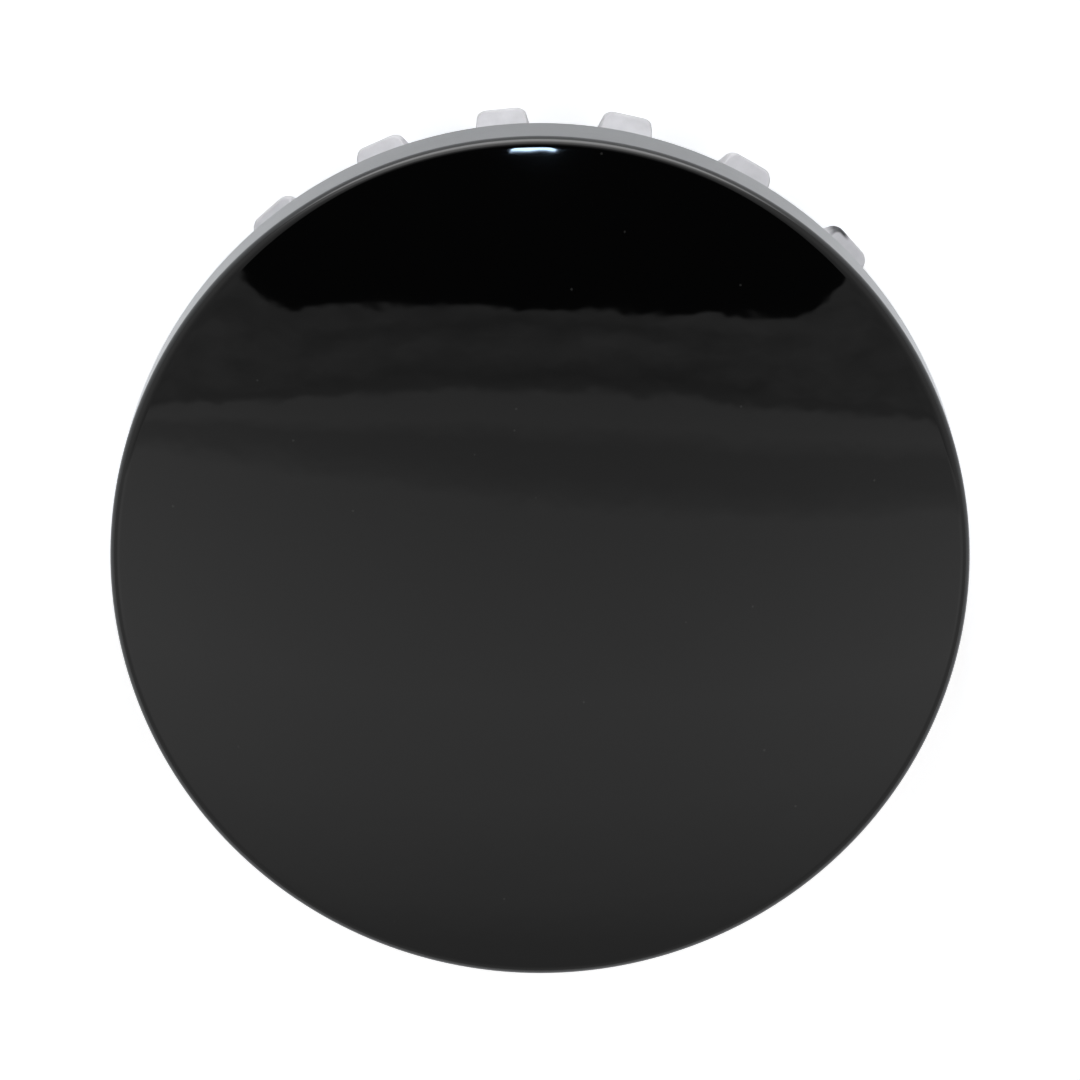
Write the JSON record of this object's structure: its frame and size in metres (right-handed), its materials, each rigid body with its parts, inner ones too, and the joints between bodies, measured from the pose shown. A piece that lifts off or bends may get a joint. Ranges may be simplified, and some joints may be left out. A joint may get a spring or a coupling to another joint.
{
  "type": "wheel centre cap",
  "caption": "Snap-in wheel centre cap: a plain gloss black domed disc with a deep rim, on a ring of pale barbed spring fingers that clip into a wheel's centre bore.",
  "frame": {"origin": "on the cap's axis, in the plane of the rim's rear edge, where the cap seats on the wheel", "axes": "+Z along the cap's axis, out of the face; the first finger is on +X"},
  "size_m": [0.06, 0.06, 0.0254],
  "materials": {
    "gloss_black_lacquer": "gloss black lacquer over moulded ABS, on the face and rim",
    "bare_abs": "bare pale grey moulded ABS, satin, on the hollow side, collar and fingers"
  },
  "bodies": {
    "root": {"centre_cap": "gloss_black_lacquer"}
  },
  "joints": []
}
